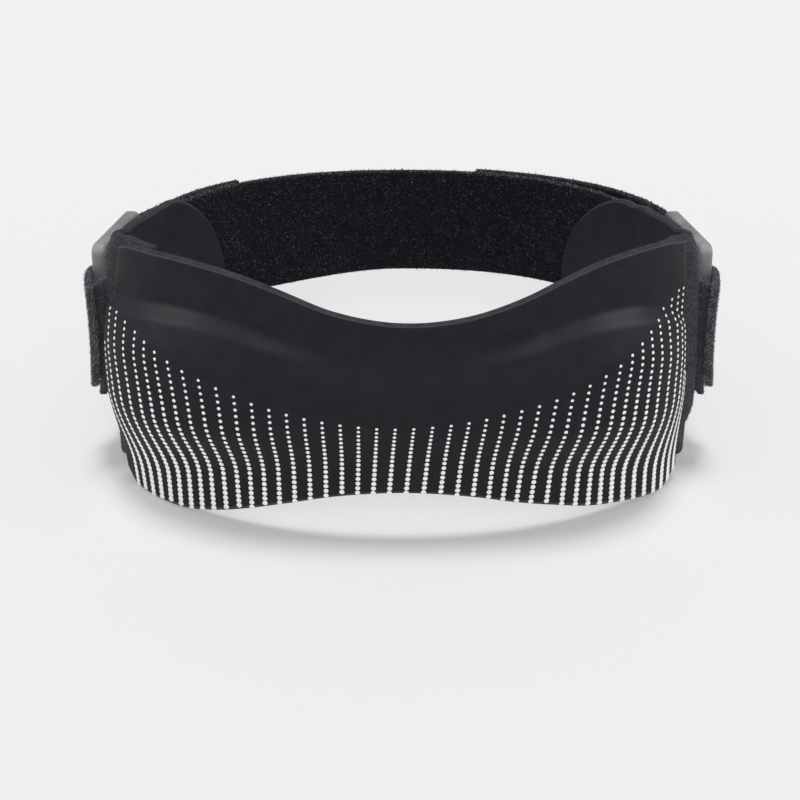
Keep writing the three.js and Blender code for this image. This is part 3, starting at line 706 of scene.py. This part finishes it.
def print_dots():
    """Columns of raised dots on the panel's outer face, growing and closing up towards the lower edge."""
    foot_place, top_place, top_height, top_spacing = (table_curve(PRINT_COLUMNS, k) for k in (1, 2, 3, 4))
    rings = ((1.0, DOT_RIM_LIFT), (DOT_SHOULDER, DOT_HEIGHT))
    step = 0.1
    turn = np.arange(DOT_SIDES) * 2 * math.pi / DOT_SIDES
    points, faces = [], []
    for number in np.arange(PRINT_COLUMNS[0][0], PRINT_COLUMNS[-1][0] + 1):
        top = z = float(top_height(number))
        foot = max(float(low_edge(foot_place(number))), 0.0)
        while z > foot:
            up = (z - foot) / (top - foot)
            along = float(foot_place(number) + (top_place(number) - foot_place(number)) * up)
            slope_along = (panel_point(along + step, z) - panel_point(along - step, z)) / (2 * step)
            slope_z = (panel_point(along, z + step) - panel_point(along, z - step)) / (2 * step)
            if abs(along) < edge_reach(number, up) - PRINT_EDGE:
                radius = DOT_RADIUS_FOOT + DOT_GROWTH * smoothstep(abs(along), DOT_GROWS, DOT_GROWN)
                radius = radius + (DOT_RADIUS_TOP - radius) * up
                out = unit(np.cross(slope_along, slope_z))
                first = len(points)
                for scale, lift in rings:
                    ring_along = along + scale * radius * np.cos(turn) / np.linalg.norm(slope_along)
                    ring_z = z + scale * radius * np.sin(turn) / np.linalg.norm(slope_z)
                    ring_z = np.maximum(ring_z, np.maximum(low_edge(ring_along), 0) + PRINT_FOOT_MARGIN)
                    points.extend(panel_point(ring_along, ring_z) + out * lift)
                points.append(panel_point(along, z) + out * DOT_DIMPLE)
                points.append(panel_point(along, z) - out * DOT_SINK)
                for s in range(DOT_SIDES):
                    a, b = first + s, first + (s + 1) % DOT_SIDES
                    faces.append((a, b, b + DOT_SIDES, a + DOT_SIDES))
                    faces.append((a + DOT_SIDES, b + DOT_SIDES, first + 2 * DOT_SIDES))
                    faces.append((b, a, first + 2 * DOT_SIDES + 1))
            spacing = PRINT_FOOT_SPACING + (float(top_spacing(number)) - PRINT_FOOT_SPACING) * up
            z -= spacing / np.linalg.norm(slope_z)
    return np.array(points), faces


def dress(piece, slot, *nodes):
    """Piece, once the solids that it replaces are hidden; the slot is not used."""
    if nodes:
        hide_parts(*nodes)
    return piece


panel = dress(shell("front_panel_cloth", Panel(), PANEL_CELL, [JERSEY, FOAM, LINING], PANEL_RIM),
              "jersey", "front_panel")
dot_points, dot_faces = print_dots()
make_piece("panel_print", dot_points, dot_faces, [INK])

strap_form = Ribbon(strap_path(), STRAP_THICKNESS, STRAP_TOP - STRAP_WIDTH, STRAP_WIDTH)
strap = dress(shell("strap_cloth", strap_form, STRAP_CELL, [PILE] * 3, STRAP_RIM, STRAP_ROUGH),
              "pile", "strap")
outer_roots = [face_roots(strap_form, STRAP_FACE, 0.0), rim_roots(strap_form, STRAP_TOP_RIM, 1),
               rim_roots(strap_form, STRAP_LOW_RIM, 0)]
outer_pile = dress(fibres("strap_pile_outer", outer_roots, PILE_FIBRE, *STRAP_FIBRE), "pile")
inner_roots = [face_roots(strap_form, STRAP_FACE, 1.0), end_roots(strap_form, STRAP_END, 0),
               end_roots(strap_form, STRAP_END, 1)]
inner_pile = dress(fibres("strap_pile_inner", inner_roots, PILE_FIBRE, *STRAP_FIBRE), "pile")

for side, word in ((1, "right"), (-1, "left")):
    wing_form = Wing(side)
    wing = dress(shell(f"wing_{word}_cloth", wing_form, WING_CELL, [WEBBING, FOAM, WING_CLOTH], WING_RIM),
                 "wing_jersey", f"wing_{word}")
    wing_roots = [face_roots(wing_form, WING_FACE, 0.0)]
    dress(fibres(f"wing_{word}_pile", wing_roots, WEBBING_FIBRE, *WING_FIBRE), "wing_jersey")
    tab_form = Ribbon(tab_path(), TAB_THICKNESS, TAB_BASE, TAB_HEIGHT, side, TAB_CORNER)
    tab = dress(shell(f"tab_{word}_cloth", tab_form, TAB_CELL, [WEBBING] * 3, TAB_RIM, TAB_ROUGH),
                "webbing", f"tab_{word}")
    tab_roots = [face_roots(tab_form, TAB_OUTER, 0.0), face_roots(tab_form, TAB_INNER, 1.0),
                 rim_roots(tab_form, TAB_TOP_RIM, 1), rim_roots(tab_form, TAB_LOW_RIM, 0),
                 end_roots(tab_form, TAB_END, 0)]
    tab_pile = dress(fibres(f"tab_{word}_pile", tab_roots, WEBBING_FIBRE, *TAB_FIBRE), "webbing")
    fray_roots = [end_roots(tab_form, TAB_FRAY, 0)]
    tab_fray = dress(fibres(f"tab_{word}_fray", fray_roots, FRAY, *FRAY_THREAD), "webbing")
    ring_points, ring_faces = ring_mesh(side)
    dress(make_piece(f"ring_{word}_frame", ring_points, ring_faces, [PLASTIC]), "plastic", f"ring_{word}")


def floor_sweep():
    """Round floor, flat near the brace and curving up far away, as points, edges and faces."""
    rings = [(FLOOR_FLAT, FLOOR_LEVEL)]
    for turn in np.linspace(0, math.pi / 2, FLOOR_STEPS + 1)[1:]:
        height = FLOOR_LEVEL + FLOOR_CURVE * (1 - math.cos(turn))
        rings.append((FLOOR_FLAT + FLOOR_CURVE * math.sin(turn), height))
    points = [(0, 0, FLOOR_LEVEL)]
    for radius, height in rings:
        for turn in np.arange(FLOOR_SIDES) * 2 * math.pi / FLOOR_SIDES:
            points.append((radius * math.cos(turn), radius * math.sin(turn), height))
    faces = []
    for s in range(FLOOR_SIDES):
        a, b = 1 + s, 1 + (s + 1) % FLOOR_SIDES
        faces.append((0, a, b))
        for k in range(len(rings) - 1):
            near, far = k * FLOOR_SIDES, (k + 1) * FLOOR_SIDES
            faces.append((near + a, far + a, far + b, near + b))
    return points, [], faces


def make_floor(scene):
    """Pale floor that glossy faces don't mirror."""
    mesh = bpy.data.meshes.new("floor")
    mesh.from_pydata(*floor_sweep())
    mesh.polygons.foreach_set("use_smooth", [True] * len(mesh.polygons))
    colour = (FLOOR_TONE, FLOOR_TONE, FLOOR_TONE, 1)
    paint = Nodes("pale_floor", roughness=0.9, specular_ior_level=0.0, base_color=colour)
    mesh.materials.append(paint.material)
    floor = bpy.data.objects.new("floor", mesh)
    floor.visible_glossy = False
    scene.collection.objects.link(floor)


def make_lights(scene):
    """Even white surroundings and four broad lamps."""
    world = bpy.data.worlds.new("studio")
    world.use_nodes = True
    world.node_tree.nodes["Background"].inputs["Color"].default_value = (1, 1, 1, 1)
    world.node_tree.nodes["Background"].inputs["Strength"].default_value = WORLD_STRENGTH
    scene.world = world
    for name, strength, size, tilt, turn, shades in LAMPS:
        lamp = bpy.data.lights.new(name, "SUN")
        lamp.energy = strength
        lamp.angle = math.radians(size)
        lamp.use_shadow = shades
        lit = bpy.data.objects.new(name, lamp)
        lit.rotation_euler = (math.radians(tilt), 0, math.radians(turn))
        scene.collection.objects.link(lit)


def make_camera(scene):
    """Camera at the photo's view."""
    camera = bpy.data.cameras.new("camera")
    camera.lens = LENS
    camera.sensor_width = SENSOR
    camera.clip_start = CAMERA_NEAR * MM
    seen = bpy.data.objects.new("camera", camera)
    seen.location = (CAMERA_X * MM, (CAMERA_Y + SHIFT_Y) * MM, CAMERA_Z * MM)
    seen.rotation_euler = (math.radians(CAMERA_TILT), 0, 0)
    scene.collection.objects.link(seen)
    scene.camera = seen


def make_stage():
    """Floor, studio light and view, with colours shown as they are."""
    scene = bpy.context.scene
    scene.view_settings.view_transform = "Standard"
    make_floor(scene)
    make_lights(scene)
    make_camera(scene)


make_stage()
